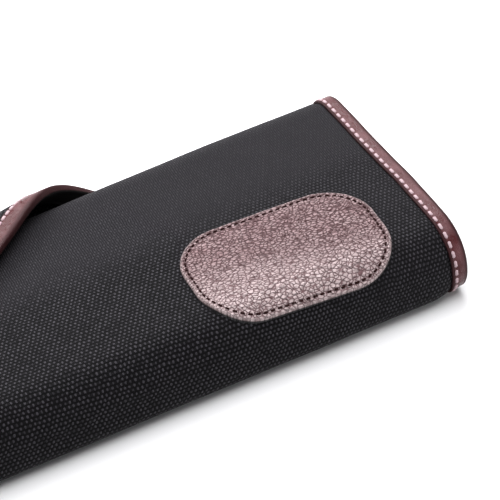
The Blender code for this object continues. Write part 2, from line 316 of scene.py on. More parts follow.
def speckle(tree, place, spots_per_metre, detail=2.0):
    """A noise texture's node at a place."""
    made = add_node(tree, "ShaderNodeTexNoise")
    made.inputs["Scale"].default_value = spots_per_metre
    made.inputs["Detail"].default_value = detail
    tree.links.new(place, made.inputs["Vector"])
    return made


def stirred(tree, place, spots_per_metre, detail, reach):
    """The place pushed about by up to `reach` metres, so that a pattern on it runs unevenly."""
    made = add_node(tree, "ShaderNodeVectorMath", operation="MULTIPLY_ADD")
    made.inputs[1].default_value = reach
    tree.links.new(speckle(tree, place, spots_per_metre, detail).outputs["Color"], made.inputs[0])
    tree.links.new(place, made.inputs[2])
    return made.outputs["Vector"]


def turned_grain(tree, place, degrees, scale):
    """The place turned and stretched, so that a pattern on it runs one way."""
    made = add_node(tree, "ShaderNodeMapping")
    made.inputs["Rotation"].default_value = (0, 0, radians(degrees))
    made.inputs["Scale"].default_value = scale
    tree.links.new(place, made.inputs["Vector"])
    return made.outputs["Vector"]


def split(tree, place):
    """The place's outputs X, Y and Z."""
    made = add_node(tree, "ShaderNodeSeparateXYZ")
    tree.links.new(place, made.inputs["Vector"])
    return made.outputs


def raise_surface(tree, shader, height, depth):
    """Feeds a height into the shader's normal, with `depth` metres between 0 and 1."""
    bump = add_node(tree, "ShaderNodeBump")
    bump.inputs["Strength"].default_value = 1.0
    bump.inputs["Distance"].default_value = depth
    tree.links.new(height, bump.inputs["Height"])
    tree.links.new(bump.outputs["Normal"], shader.inputs["Normal"])


WARP_SPACING = 0.00112
WEFT_SPACING = 0.00203
GRAIN_DEGREES = -3.0
DRAWN_IN_FROM = 0.10
# The gap colour is painted shade between the yarns.
CANVAS_GAP_SHADE = (0.0020, 0.0018, 0.0022, 1)
CANVAS_YARN = (0.0345, 0.0320, 0.0372, 1)
YARN_DEPTH = 0.00035
FIBRE_HEIGHT = 0.12


def canvas_material():
    """Coarse plain weave: thin warp yarns that show as ribs where it is rubbed, and thick weft yarns
    that lie over them, with painted shade between yarns. The cloth is drawn in toward the roll's ends."""
    material, tree, shader = new_material("charcoal_canvas", 0.85)
    pattern = add_node(tree, "ShaderNodeUVMap", uv_map="pattern").outputs["UV"]
    drift = stirred(tree, pattern, 170.0, 3.0, (0.0014, 0.0020, 0.0))
    grain = turned_grain(tree, drift, GRAIN_DEGREES, (1.0, 1.0, 1.0))
    parts = split(tree, grain)
    past_right = calc(tree, "MAXIMUM", calc(tree, "SUBTRACT", parts["X"], DRAWN_IN_FROM), 0.0)
    past_left = calc(tree, "MINIMUM", calc(tree, "ADD", parts["X"], DRAWN_IN_FROM), 0.0)
    drawn = calc(tree, "MULTIPLY_ADD", past_right, past_right, parts["X"])
    drawn = calc(tree, "SUBTRACT", drawn, calc(tree, "MULTIPLY", past_left, past_left))
    across = calc(tree, "DIVIDE", drawn, WARP_SPACING)
    down = calc(tree, "DIVIDE", parts["Y"], WEFT_SPACING)
    warp_wave = calc(tree, "SINE", calc(tree, "MULTIPLY", across, pi))
    weft_wave = calc(tree, "SINE", calc(tree, "MULTIPLY", down, pi))
    across_yarn = calc(tree, "POWER", calc(tree, "ABSOLUTE", warp_wave), 0.35)
    down_yarn = calc(tree, "POWER", calc(tree, "ABSOLUTE", weft_wave), 1.35)
    side = calc(tree, "SIGN", calc(tree, "MULTIPLY", warp_wave, weft_wave))
    crossing = calc(tree, "MULTIPLY", calc(tree, "MULTIPLY", across_yarn, down_yarn), side)
    weft_over = ranged(tree, crossing, 0.05, 0.85, 0.0, 1.0)
    warp_over = ranged(tree, crossing, 0.0, -1.0, 0.0, 0.22)
    height = calc(tree, "ADD", weft_over, warp_over)

    cell = add_node(tree, "ShaderNodeCombineXYZ")
    tree.links.new(calc(tree, "FLOOR", across), cell.inputs["X"])
    tree.links.new(calc(tree, "FLOOR", down), cell.inputs["Y"])
    uneven = add_node(tree, "ShaderNodeTexWhiteNoise", noise_dimensions="2D")
    tree.links.new(cell.outputs["Vector"], uneven.inputs["Vector"])
    fibre_grain = turned_grain(tree, grain, 0.0, (1.0, 3.5, 1.0))
    fibres = speckle(tree, fibre_grain, 2600.0, 3.0).outputs["Fac"]
    wear = speckle(tree, pattern, 70.0, 3.0).outputs["Fac"]
    lit = calc(tree, "MULTIPLY", height, ranged(tree, uneven.outputs["Value"], 0, 1, 0.55, 1.2))
    lit = calc(tree, "MULTIPLY", lit, ranged(tree, fibres, 0.3, 0.7, 0.75, 1.2))
    lit = calc(tree, "MULTIPLY", lit, ranged(tree, wear, 0.3, 0.7, 0.85, 1.12))
    share = ranged(tree, lit, 0.0, 1.0, 0.0, 1.0)

    flat_parts = split(tree, pattern)
    from_ridge = calc(tree, "ABSOLUTE", flat_parts["Y"])
    from_middle = calc(tree, "ABSOLUTE", flat_parts["X"])
    wear_and_highlight = ranged(tree, from_ridge, 0.030, 0.064, 0.85, 0.0)
    near_end = ranged(tree, from_middle, 0.13, 0.215, 0.0, 0.35)
    near_end = calc(tree, "MULTIPLY", near_end, ranged(tree, from_ridge, 0.07, 0.11, 1.0, 0.35))
    wear_and_highlight = calc(tree, "MAXIMUM", wear_and_highlight, near_end)
    ribs = calc(tree, "MULTIPLY_ADD", calc(tree, "MULTIPLY", warp_wave, warp_wave), 0.50, 0.14)
    share = calc(tree, "MULTIPLY_ADD", calc(tree, "SUBTRACT", ribs, share), wear_and_highlight, share)
    # The colour runs from the yarns' tone on their crowns to painted shade in the gaps between them.
    feed(tree, shader.inputs["Base Color"], blend(tree, share, CANVAS_GAP_SHADE, CANVAS_YARN))
    feed(tree, shader.inputs["Roughness"], ranged(tree, lit, 0.0, 1.0, 0.92, 0.70))
    worn_height = calc(tree, "MULTIPLY_ADD", calc(tree, "SUBTRACT", ribs, height), wear_and_highlight, height)
    relief = calc(tree, "MULTIPLY_ADD", fibres, FIBRE_HEIGHT, worn_height)
    raise_surface(tree, shader, relief, YARN_DEPTH)
    shader.inputs["Sheen Weight"].default_value = 0.03
    shader.inputs["Sheen Roughness"].default_value = 0.4
    shader.inputs["Specular IOR Level"].default_value = 0.1
    return material


canvas = canvas_material()
canvas_panel.data.materials.append(canvas)
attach(canvas_panel, "root")
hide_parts("canvas_wrap")


# End bindings
# A strip of smooth red-brown leather is folded over each end of the panel, from its inner start to
# its free edge, and sewn through with one row of pale waxed thread.
SEAM_FROM_EDGE = 0.0066
STRIP_ROWS = 300
FOLD_STEPS = 8
FOLD_DEPTH = 0.72
GROOVE_DEPTH = 0.00022
GROOVE_WIDTH = 0.0011
# How far the dye and painted shade reach in from the lip and the fold.
DYED_AND_SHADED_WIDTH = 0.0019
DYED_AND_SHADED_LIP = 0.0016
CUT_EDGE_ROUND = 0.0002


def fold_path(width, panel_thickness, seam, leather, proud):
    """The strip's middle in (inward, outward, distance across), from its outer lip round the edge."""
    top = proud - leather / 2
    bottom = -panel_thickness - top
    bend = (top - bottom) / 2
    bend_depth = FOLD_DEPTH * bend
    bend_center = bend_depth + leather / 2
    inward_steps = [width, width - 0.0008, width - 0.0015]
    inward_steps += [seam + GROOVE_WIDTH * share for share in (2, 1, 0.5, 0, -0.5, -1, -2)]
    inward_steps += list(np.linspace(seam - 2.6 * GROOVE_WIDTH, bend_center + 0.0003, 3))
    inward_steps = sorted((step for step in inward_steps if bend_center < step <= width), reverse=True)
    path = [(step, top) for step in inward_steps]
    for step in range(FOLD_STEPS + 1):
        turn = pi * step / FOLD_STEPS
        path.append((bend_center - bend_depth * sin(turn), (top + bottom) / 2 + bend * cos(turn)))
    path += [(step, bottom) for step in reversed(inward_steps)]
    across = 0.0
    points = []
    for (inward, outward), (last_inward, last_outward) in zip(path, [path[0]] + path[:-1]):
        across += hypot(inward - last_inward, outward - last_outward)
        groove = GROOVE_DEPTH * exp(-(((inward - seam) / GROOVE_WIDTH) ** 2) * 2)
        lift = -groove if outward > (top + bottom) / 2 else groove
        points.append((inward, outward + lift, across))
    return points


def folded_strip(name, stations, place, path, leather, dyed_and_shaded_width):
    """A leather strip folded over an edge: place(station, inward, outward) is a point beside it.
    Its lips and its fold are marked as dyed and painted with shade, and the half of it under the fold for
    painted shade."""
    strip = cloth_grid(
        name,
        path,
        stations,
        lambda fold, station: (place(station, fold[0], fold[1]), (fold[2], station)),
    )
    dyed_and_shaded = strip.data.attributes.new("dyed_and_shaded_edge", "FLOAT", "POINT")
    underside_shade = strip.data.attributes.new("underside", "FLOAT", "POINT")
    for corner in strip.data.vertices:
        inward = path[corner.index % len(path)][0]
        lip = 1 - smooth_share(path[0][0] - inward, DYED_AND_SHADED_LIP / 2, DYED_AND_SHADED_LIP)
        fold = 1 - smooth_share(inward - leather / 2, dyed_and_shaded_width / 2, dyed_and_shaded_width)
        dyed_and_shaded.data[corner.index].value = max(lip, fold)
        underside_shade.data[corner.index].value = 1.0 if corner.index % len(path) > len(path) // 2 + 1 else 0.0
    thicken = strip.modifiers.new("leather", "SOLIDIFY")
    thicken.thickness = leather
    thicken.offset = 0.0
    cut_edge = strip.modifiers.new("cut_edge", "BEVEL")
    cut_edge.width = CUT_EDGE_ROUND
    cut_edge.segments = 2
    cut_edge.limit_method = "ANGLE"
    cut_edge.angle_limit = radians(60)
    apply_modifiers(strip)
    face_out(strip, 60)
    return strip


def leather_grain_group():
    """Fine creased grain: Height, and Crease, which is 1 in the bottom of a crease and marks where painted
    shade goes.
    """
    group = bpy.data.node_groups.new("leather_grain", "ShaderNodeTree")
    sockets = group.interface
    sockets.new_socket("Place", in_out="INPUT", socket_type="NodeSocketVector")
    sockets.new_socket("Cells per metre", in_out="INPUT", socket_type="NodeSocketFloat")
    sockets.new_socket("Height", in_out="OUTPUT", socket_type="NodeSocketFloat")
    sockets.new_socket("Crease", in_out="OUTPUT", socket_type="NodeSocketFloat")
    given = add_node(group, "NodeGroupInput")
    result = add_node(group, "NodeGroupOutput")
    place = given.outputs["Place"]
    cells = add_node(group, "ShaderNodeTexVoronoi", feature="DISTANCE_TO_EDGE")
    group.links.new(stirred(group, place, 420.0, 2.0, (0.0006, 0.0006, 0.0006)), cells.inputs["Vector"])
    group.links.new(given.outputs["Cells per metre"], cells.inputs["Scale"])
    rounded = ranged(group, cells.outputs["Distance"], 0.0, 0.28, 0.0, 1.0)
    pores = speckle(group, place, 3500.0).outputs["Fac"]
    height = calc(group, "MULTIPLY_ADD", pores, 0.25, rounded)
    group.links.new(height, result.inputs["Height"])
    group.links.new(calc(group, "SUBTRACT", 1.0, rounded), result.inputs["Crease"])
    return group


leather_grain = leather_grain_group()
BINDING_BROWN = (0.062, 0.0120, 0.0135, 1)
BINDING_DARK = (0.020, 0.0030, 0.0040, 1)
BINDING_WORN = (0.105, 0.040, 0.044, 1)
# The strips' undersides are painted near-black with shade.
BINDING_UNDERSIDE_SHADE = (0.0035, 0.0028, 0.0028, 1)
BINDING_GRAIN_DEPTH = 0.00007


def grained(tree, place, cells_per_metre):
    """The leather grain's outputs Height and Crease at a place."""
    made = add_node(tree, "ShaderNodeGroup")
    made.node_tree = leather_grain
    made.inputs["Cells per metre"].default_value = cells_per_metre
    tree.links.new(place, made.inputs["Place"])
    return made.outputs


def marked(tree, attribute):
    """A share that is kept on the piece's points."""
    return add_node(tree, "ShaderNodeAttribute", attribute_name=attribute).outputs["Fac"]


def binding_leather_material():
    """Smooth red-brown leather, worn in clouds, with painted shade in its grain's creases, dyed and painted
    with shade at its edges, and painted near-black with shade underneath, where it is also dull.
    """
    material, tree, shader = new_material("binding_leather", 0.36)
    place = add_node(tree, "ShaderNodeTexCoord").outputs["Object"]
    grain = grained(tree, place, 1100.0)
    clouds = speckle(tree, place, 110.0, 5.0).outputs["Fac"]
    tone = ranged(tree, clouds, 0.42, 0.66, 0.0, 1.0)
    colour = blend(tree, tone, BINDING_BROWN, BINDING_WORN)
    # Painted shade darkens the grain's creases.
    colour = blend(tree, calc(tree, "MULTIPLY", grain["Crease"], 0.22), colour, BINDING_DARK)
    dyed_and_shaded = marked(tree, "dyed_and_shaded_edge")
    # The lips and fold are dyed dark and also carry painted shade.
    colour = blend(tree, calc(tree, "MULTIPLY", dyed_and_shaded, 0.92), colour, BINDING_DARK)
    underside_shade = marked(tree, "underside")
    # The half under the fold is painted near-black with shade.
    colour = blend(tree, underside_shade, colour, BINDING_UNDERSIDE_SHADE)
    feed(tree, shader.inputs["Base Color"], colour)
    rough = ranged(tree, clouds, 0.35, 0.65, 0.24, 0.38)
    dull = calc(tree, "MULTIPLY_ADD", underside_shade, 0.55, calc(tree, "MULTIPLY", dyed_and_shaded, 0.35))
    feed(tree, shader.inputs["Roughness"], calc(tree, "ADD", rough, dull))
    raise_surface(tree, shader, grain["Height"], BINDING_GRAIN_DEPTH)
    shader.inputs["Specular IOR Level"].default_value = 0.18
    return material


binding_leather = binding_leather_material()
strip_stations = list(np.linspace(PANEL_START, BINDING_END, STRIP_ROWS))
end_fold = fold_path(BINDING_WIDTH, PANEL_THICKNESS, SEAM_FROM_EDGE, LEATHER_THICKNESS, BINDING_PROUD)
for name, side, node in (("leather_end_right", 1, "binding_right"), ("leather_end_left", -1, "binding_left")):
    strip = folded_strip(
        name,
        strip_stations,
        lambda along, inward, outward: wound(side * (HALF_LENGTH - inward), along, outward),
        end_fold,
        LEATHER_THICKNESS,
        DYED_AND_SHADED_WIDTH,
    )
    strip.data.materials.append(binding_leather)
    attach(strip, "root")
    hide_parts(node)


# Free edge binding
# The same red-brown leather, folded over the panel's last, outer edge. It runs low on the back from
# one end binding to the other, and is sewn on in the same way.
FREE_EDGE_COLUMNS = 90
free_reach = HALF_LENGTH - BINDING_WIDTH - FIT_GAP
free_strip = folded_strip(
    "leather_free_edge",
    list(np.linspace(-free_reach, free_reach, FREE_EDGE_COLUMNS)),
    lambda x, inward, outward: wound(x, BINDING_END - inward, outward),
    end_fold,
    LEATHER_THICKNESS,
    DYED_AND_SHADED_WIDTH,
)
free_strip.data.materials.append(binding_leather)
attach(free_strip, "root")
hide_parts("binding_free_edge")


# Binding stitches
# Thick waxed pink-white thread, sewn through the folded leather and the canvas in long stitches that
# sink in at both ends. They lie in the groove that the tight thread pulls into the leather.
STITCH_LENGTH = 0.0036
STITCH_WIDTH = 0.0016
STITCH_HEIGHT = 0.0012
STITCH_ENDS_FULLER = 0.5
STITCH_ENDS_SINK = 0.3
STITCH_PRESS = 0.0007
STITCH_RISE = 0.00012
STITCH_PITCH = 0.00473
STITCH_AT = 0.0003
SEWN_UNDER = 0.03
SEAM_STOPS_SHORT = 0.003
INNER_SEAM_START = 0.004
FREE_SEAM_STOPS_SHORT = 0.006
SMALL_STEP = 0.0001
PALE_THREAD = (0.50, 0.385, 0.405, 1)
PALE_THREAD_SHADE = (0.34, 0.235, 0.255, 1)


def thread_material(name, colour, dark):
    """Dull waxed thread, with painted shade where its strands sink."""
    material, tree, shader = new_material(name, 0.8)
    shader.inputs["Specular IOR Level"].default_value = 0.12
    place = add_node(tree, "ShaderNodeTexCoord").outputs["Object"]
    twist = speckle(tree, place, 2200.0).outputs["Fac"]
    feed(tree, shader.inputs["Base Color"], blend(tree, twist, dark, colour))
    raise_surface(tree, shader, twist, 0.00006)
    return material


def stitch_model(name, length, width, height):
    """One stitch along X, full near both ends, where it turns down into the leather."""
    bpy.ops.mesh.primitive_uv_sphere_add(segments=8, ring_count=7, radius=0.5)
    stitch = bpy.context.object
    stitch.name = name
    stitch.scale = (width, height, length)
    bpy.ops.object.transform_apply(scale=True)
    stitch.rotation_euler = (pi / 2, 0, pi / 2)
    bpy.ops.object.transform_apply(rotation=True)
    for corner in stitch.data.vertices:
        share = abs(corner.co.x) / (length / 2)
        near_end = smooth_share(share, 0.2, 0.8) * (1 - smooth_share(share, 0.8, 1.0))
        fuller = 1 + STITCH_ENDS_FULLER * near_end
        corner.co.y *= fuller
        sink = STITCH_ENDS_SINK * height * smooth_share(share, 0.4, 1.0)
        corner.co.z = corner.co.z * fuller - sink
    bpy.ops.object.shade_smooth()
    return stitch


def seam_seat(place, surface):
    """Where a stitch sits: place(step along, outward). It is pressed in where the roll lies on it."""
    on_floor = 1 - smooth_share(place(0.0, surface).z, 0.001, 0.004)
    outer = 1 if surface > 0 else -1
    sunk = surface - STITCH_PRESS * on_floor * outer
    return place(0.0, sunk), place(SMALL_STEP, sunk), place(0.0, sunk + SMALL_STEP * outer)


def sew(name, stitch, seats, material):
    """Copies the stitch to each seat, given as (place, a point along, a point outward)."""
    copies = []
    for seat, along, outward in seats:
        copy = stitch.copy()
        copy.data = stitch.data.copy()
        bpy.context.collection.objects.link(copy)
        x_axis = (along - seat).normalized()
        z_axis = (outward - seat).normalized()
        y_axis = z_axis.cross(x_axis).normalized()
        turned = Matrix((x_axis, y_axis, x_axis.cross(y_axis))).transposed().to_4x4()
        copy.data.transform(Matrix.Translation(seat) @ turned)
        copies.append(copy)
    bpy.ops.object.select_all(action="DESELECT")
    for copy in copies:
        copy.select_set(True)
    bpy.context.view_layer.objects.active = copies[0]
    bpy.ops.object.join()
    row = bpy.context.object
    row.name = name
    row.data.name = name
    row.data.materials.append(material)
    row.select_set(False)
    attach(row, "root")
    return row


pale_thread = thread_material("pale_waxed_thread", PALE_THREAD, PALE_THREAD_SHADE)
pale_stitch = stitch_model("pale_stitch", STITCH_LENGTH, STITCH_WIDTH, STITCH_HEIGHT)
surface = BINDING_PROUD - GROOVE_DEPTH + STITCH_RISE
inner_surface = -PANEL_THICKNESS - surface
outer_turn = BINDING_END - PERIMETER
first_stitch = STITCH_AT - STITCH_PITCH * floor((STITCH_AT + SEWN_UNDER - outer_turn) / STITCH_PITCH)
outer_stitches = floor((BINDING_END - SEAM_STOPS_SHORT - first_stitch) / STITCH_PITCH) + 1
for name, side in (("stitches_right", 1), ("stitches_left", -1)):
    seats = []
    x = side * (HALF_LENGTH - SEAM_FROM_EDGE)
    for count in range(outer_stitches):
        along = first_stitch + count * STITCH_PITCH
        seats.append(seam_seat(lambda step, outward: wound(x, along + step, outward), surface))
    along = PANEL_START + INNER_SEAM_START
    while along < PANEL_START + PERIMETER:
        seats.append(seam_seat(lambda step, outward: wound(x, along + step, outward), inner_surface))
        along += STITCH_PITCH
    sew(name, pale_stitch, seats, pale_thread)

seats = []
along = BINDING_END - SEAM_FROM_EDGE
stitches_a_side = floor((free_reach - FREE_SEAM_STOPS_SHORT) / STITCH_PITCH)
for count in range(-stitches_a_side, stitches_a_side + 1):
    x = count * STITCH_PITCH
    seats.append(seam_seat(lambda step, outward: wound(x + step, along, outward), surface))
sew("stitches_free_edge", pale_stitch, seats, pale_thread)


# Leather patch
# Thick pebbled brown leather with wide round corners, sewn on where the top turns down to the front.
# A groove with painted shade runs under its stitches, its cut edge is left pale with a painted highlight on
# its rim and painted shadow at its foot, and its lower left is paled by a painted highlight.
PATCH_LENGTH = 0.0947
PATCH_WIDTH = 0.0638
PATCH_CORNER = 0.025
PATCH_THICKNESS = 0.0023
PATCH_BACKING = 0.0004
PATCH_BEDDED = 0.00005
PATCH_LEAN = 0.0010
PATCH_X = HALF_LENGTH - 0.0747
PATCH_ALONG = 0.0876
PATCH_TURN = radians(3.5)
PATCH_COLUMNS = 200
PATCH_ROWS = 134
PATCH_ROW_CROWDING = 0.85
PEBBLE_SIZE = 0.0018
PEBBLE_DEPTH = 0.0013
LUMP_SIZE = 0.0034
LUMP_HEIGHT = 0.00016
PATCH_SEAM = 0.0024
PATCH_GROOVE = 0.0004
PATCH_GROOVE_WIDTH = 0.0009
PATCH_RIM_DROP = 0.00045
PATCH_RIM_WIDTH = 0.0007
PATCH_SWELL = 0.0003
PATCH_WAVE = 0.0002
PATCH_WAVE_SIZE = 0.007
# The crease colour is painted shade.
PATCH_CREASE_SHADE = (0.052, 0.0120, 0.0145, 1)
PATCH_BROWN = (0.260, 0.148, 0.156, 1)
PATCH_WORN = (0.410, 0.292, 0.296, 1)
# The groove colour is painted shade.
PATCH_GROOVE_SHADE = (0.020, 0.0055, 0.0055, 1)
# The pale silver colour on the lower left is a painted highlight.
PATCH_PAINTED_HIGHLIGHT = (0.64, 0.53, 0.525, 1)
# Pale raw cut edge, which also serves as a painted highlight along the rounded rim.
PATCH_CUT_AND_HIGHLIGHT = (0.38, 0.31, 0.308, 1)
# Painted contact shadow at the foot of the patch's cut edge.
PATCH_CONTACT_SHADOW = (0.006, 0.005, 0.006, 1)


def on_patch(across, down, outward):
    """A point of the patch, from its middle, `outward` from the canvas under it."""
    x = PATCH_X + across * cos(PATCH_TURN) - down * sin(PATCH_TURN)
    along = PATCH_ALONG + across * sin(PATCH_TURN) + down * cos(PATCH_TURN)
    return wound(x, along, outward)


def patch_half_length(down):
    """Half the patch's length, which its round corners shorten above and below."""
    into_corner = abs(down) - (PATCH_WIDTH / 2 - PATCH_CORNER)
    if into_corner <= 0:
        return PATCH_LENGTH / 2
    return PATCH_LENGTH / 2 - PATCH_CORNER + sqrt(max(PATCH_CORNER**2 - into_corner**2, 0.0))


def from_patch_edge(across, down):
    """How far a point of the patch is from its cut edge."""
    x = abs(across) - (PATCH_LENGTH / 2 - PATCH_CORNER)
    y = abs(down) - (PATCH_WIDTH / 2 - PATCH_CORNER)
    return PATCH_CORNER - hypot(max(x, 0), max(y, 0)) - min(max(x, y), 0)


def patch_height(across, down):
    """(height above the patch's plain top face, share of the stitched groove) at one point."""
    inward = from_patch_edge(across, down)
    place = Vector((across, down, 0.0))
    distances = noise.voronoi(place / LUMP_SIZE)[0]
    lump = LUMP_HEIGHT * (smooth_share(distances[1] - distances[0], 0.0, 0.5) - 1)
    lump *= smooth_share(inward, 0.0002, 0.0012)
    rim = PATCH_RIM_DROP * (1 - smooth_share(inward, 0.0, PATCH_RIM_WIDTH)) ** 2
    groove = exp(-(((inward - PATCH_SEAM) / PATCH_GROOVE_WIDTH) ** 2) * 2)
    swell = PATCH_SWELL * smooth_share(inward, 0.004, 0.012)
    swell += PATCH_WAVE * noise.noise(place / PATCH_WAVE_SIZE)
    return swell - rim - PATCH_GROOVE * groove + lump, groove


patch_columns = list(np.linspace(-1, 1, PATCH_COLUMNS))
row_turns = np.linspace(-pi / 2, pi / 2, PATCH_ROWS) * PATCH_ROW_CROWDING
patch_rows = list(PATCH_WIDTH / 2 * np.sin(row_turns) / sin(PATCH_ROW_CROWDING * pi / 2))
patch = cloth_grid(
    "pebbled_patch",
    patch_columns,
    patch_rows,
    lambda share, down: (
        on_patch(share * patch_half_length(down), down, PATCH_THICKNESS),
        (share * patch_half_length(down), down),
    ),
)
thicken = patch.modifiers.new("hide", "SOLIDIFY")
thicken.thickness = PATCH_THICKNESS + PATCH_BEDDED
apply_modifiers(patch)
groove_shade_share = patch.data.attributes.new("seam", "FLOAT", "POINT")
cut_and_highlight_share = patch.data.attributes.new("cut_edge", "FLOAT", "POINT")
contact_shadow_share = patch.data.attributes.new("contact_shadow_line", "FLOAT", "POINT")
top_count = PATCH_COLUMNS * PATCH_ROWS
for index in range(top_count):
    down = patch_rows[index // PATCH_COLUMNS]
    across = patch_columns[index % PATCH_COLUMNS] * patch_half_length(down)
    height, groove = patch_height(across, down)
    patch.data.vertices[index].co = on_patch(across, down, PATCH_THICKNESS + height)
    lean = PATCH_LEAN * smooth_share(down, 0.0, PATCH_WIDTH / 2)
    backing_across = across * (1 + 2 * PATCH_BACKING / PATCH_LENGTH)
    backing_down = down * (1 + 2 * PATCH_BACKING / PATCH_WIDTH) + lean
    patch.data.vertices[index + top_count].co = on_patch(backing_across, backing_down, -PATCH_BEDDED)
    groove_shade_share.data[index].value = groove
    cut = 1 - smooth_share(from_patch_edge(across, down), 0.0001, 0.0014)
    cut_and_highlight_share.data[index].value = cut
    contact_shadow_share.data[index + top_count].value = cut
face_out(patch, 55)


def pebble_distance(tree, place, feature):
    """The pebble pattern's distance: F1 is from a pebble's middle, the other from its edge."""
    made = add_node(tree, "ShaderNodeTexVoronoi", feature=feature)
    made.inputs["Scale"].default_value = 1 / PEBBLE_SIZE
    tree.links.new(place, made.inputs["Vector"])
    return made.outputs["Distance"]


def patch_leather_material():
    """Round pebbles with painted shade in the creases between them and fine grain and wrinkles over all, a
    painted highlight on the lower left and along the rim, and painted shade in the stitch groove and along
    the foot of the cut edge.
    """
    material, tree, shader = new_material("pebbled_leather", 0.4)
    pattern = add_node(tree, "ShaderNodeUVMap", uv_map="pattern").outputs["UV"]
    shift = stirred(tree, pattern, 380.0, 2.0, (0.0016, 0.0016, 0.0))
    drawn = turned_grain(tree, shift, 25.0, (0.85, 1.2, 1.0))
    from_crease = pebble_distance(tree, drawn, "DISTANCE_TO_EDGE")
    from_top = pebble_distance(tree, drawn, "F1")
    dome = calc(tree, "SUBTRACT", 1.0, calc(tree, "POWER", from_top, 2.0))
    pebble_top = ranged(tree, from_crease, 0.0, 0.16, 0.0, 1.0)
    crease = ranged(tree, from_crease, 0.0, 0.28, 1.0, 0.0)
    wrinkle_grain = turned_grain(tree, pattern, -50.0, (0.7, 2.2, 1.0))
    wrinkles = speckle(tree, wrinkle_grain, 380.0, 2.0).outputs["Fac"]
    grain = grained(tree, pattern, 2300.0)
    clouds = speckle(tree, pattern, 90.0, 3.0).outputs["Fac"]
    tone = ranged(tree, clouds, 0.3, 0.7, 0.3, 0.9)
    colour = blend(tree, calc(tree, "MULTIPLY", tone, pebble_top), PATCH_BROWN, PATCH_WORN)

    sunk = calc(tree, "MAXIMUM", crease, calc(tree, "MULTIPLY", grain["Crease"], 0.25))
    flat_parts = split(tree, pattern)
    # A painted highlight pales the patch's lower left and thins the painted crease shade there.
    toward_low_left = calc(tree, "MULTIPLY_ADD", flat_parts["X"], -0.2, flat_parts["Y"])
    wear_and_highlight = ranged(tree, toward_low_left, -0.008, 0.026, 0.0, 0.48)
    crease_shade = calc(tree, "MULTIPLY", sunk, calc(tree, "SUBTRACT", 1.0, calc(tree, "MULTIPLY", wear_and_highlight, 0.7)))
    # Painted shade darkens the creases, less where the lower left's painted highlight lies.
    colour = blend(tree, crease_shade, colour, PATCH_CREASE_SHADE)
    colour = blend(tree, calc(tree, "MULTIPLY", wear_and_highlight, pebble_top), colour, PATCH_PAINTED_HIGHLIGHT)
    # Painted shade darkens the stitched groove.
    colour = blend(tree, calc(tree, "MULTIPLY", marked(tree, "seam"), 0.12), colour, PATCH_GROOVE_SHADE)
    # The cut edge is pale leather, and the rim beside it also carries a painted highlight.
    colour = blend(tree, calc(tree, "MULTIPLY", marked(tree, "cut_edge"), 0.5), colour, PATCH_CUT_AND_HIGHLIGHT)
    # Painted shadow darkens the foot of the cut edge, where it meets the canvas.
    contact_shadow = ranged(tree, marked(tree, "contact_shadow_line"), 0.15, 0.6, 0.0, 1.0)
    feed(tree, shader.inputs["Base Color"], blend(tree, contact_shadow, colour, PATCH_CONTACT_SHADOW))
    feed(tree, shader.inputs["Roughness"], ranged(tree, sunk, 0.0, 1.0, 0.28, 0.6))

    relief = calc(tree, "MULTIPLY_ADD", dome, 1.0, calc(tree, "MULTIPLY", pebble_top, 0.25))
    relief = calc(tree, "MULTIPLY_ADD", grain["Height"], 0.08, relief)
    relief = calc(tree, "MULTIPLY_ADD", wrinkles, 2.2, relief)
    raise_surface(tree, shader, relief, PEBBLE_DEPTH)
    shader.inputs["Specular IOR Level"].default_value = 0.45
    return material


patch.data.materials.append(patch_leather_material())
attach(patch, "root")
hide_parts("leather_patch")


# Patch stitches
# Dark brown waxed thread, thinner than the bindings' and sewn in short stitches. They are bedded in
# the groove that runs round inside the patch's cut edge.
PATCH_STITCH_PITCH = 0.0035
PATCH_STITCH_LENGTH = 0.0023
PATCH_STITCH_WIDTH = 0.0010
PATCH_STITCH_HEIGHT = 0.0009
PATCH_STITCH_RISE = 0.00025
BROWN_THREAD = (0.022, 0.0046, 0.0044, 1)
BROWN_THREAD_SHADE = (0.010, 0.0024, 0.0023, 1)


def round_patch(travelled, inward):
    """(across, down) at a length travelled along the patch's outline, moved inward. Each quarter is
    a straight and the corner after it, laid along the patch's top edge and then turned in place."""
    corner = PATCH_CORNER - inward
    straights = (PATCH_LENGTH - 2 * PATCH_CORNER, PATCH_WIDTH - 2 * PATCH_CORNER)
    for quarter in range(4):
        straight = straights[quarter % 2]
        if travelled < straight + corner * pi / 2:
            break
        travelled -= straight + corner * pi / 2
    turn = max(travelled - straight, 0.0) / corner
    x = min(travelled, straight) - straight / 2 + corner * sin(turn)
    y = -corner * cos(turn) - straights[1 - quarter % 2] / 2
    for _ in range(quarter):
        x, y = -y, x
    return x, y


around = 2 * (PATCH_LENGTH + PATCH_WIDTH - 4 * PATCH_CORNER) + 2 * pi * (PATCH_CORNER - PATCH_SEAM)
patch_stitches = round(around / PATCH_STITCH_PITCH)
brown_thread = thread_material("dark_brown_thread", BROWN_THREAD, BROWN_THREAD_SHADE)
brown_stitch = stitch_model("brown_stitch", PATCH_STITCH_LENGTH, PATCH_STITCH_WIDTH, PATCH_STITCH_HEIGHT)
seats = []
surface = PATCH_THICKNESS - PATCH_GROOVE + PATCH_STITCH_RISE
for count in range(patch_stitches):
    travelled = around * count / patch_stitches
    x, y = round_patch(travelled, PATCH_SEAM)
    next_x, next_y = round_patch((travelled + 2 * SMALL_STEP) % around, PATCH_SEAM)
    ahead = on_patch(next_x, next_y, surface)
    seats.append((on_patch(x, y, surface), ahead, on_patch(x, y, surface + SMALL_STEP)))
sew("patch_stitches", brown_stitch, seats, brown_thread)
bpy.data.objects.remove(brown_stitch, do_unlink=True)


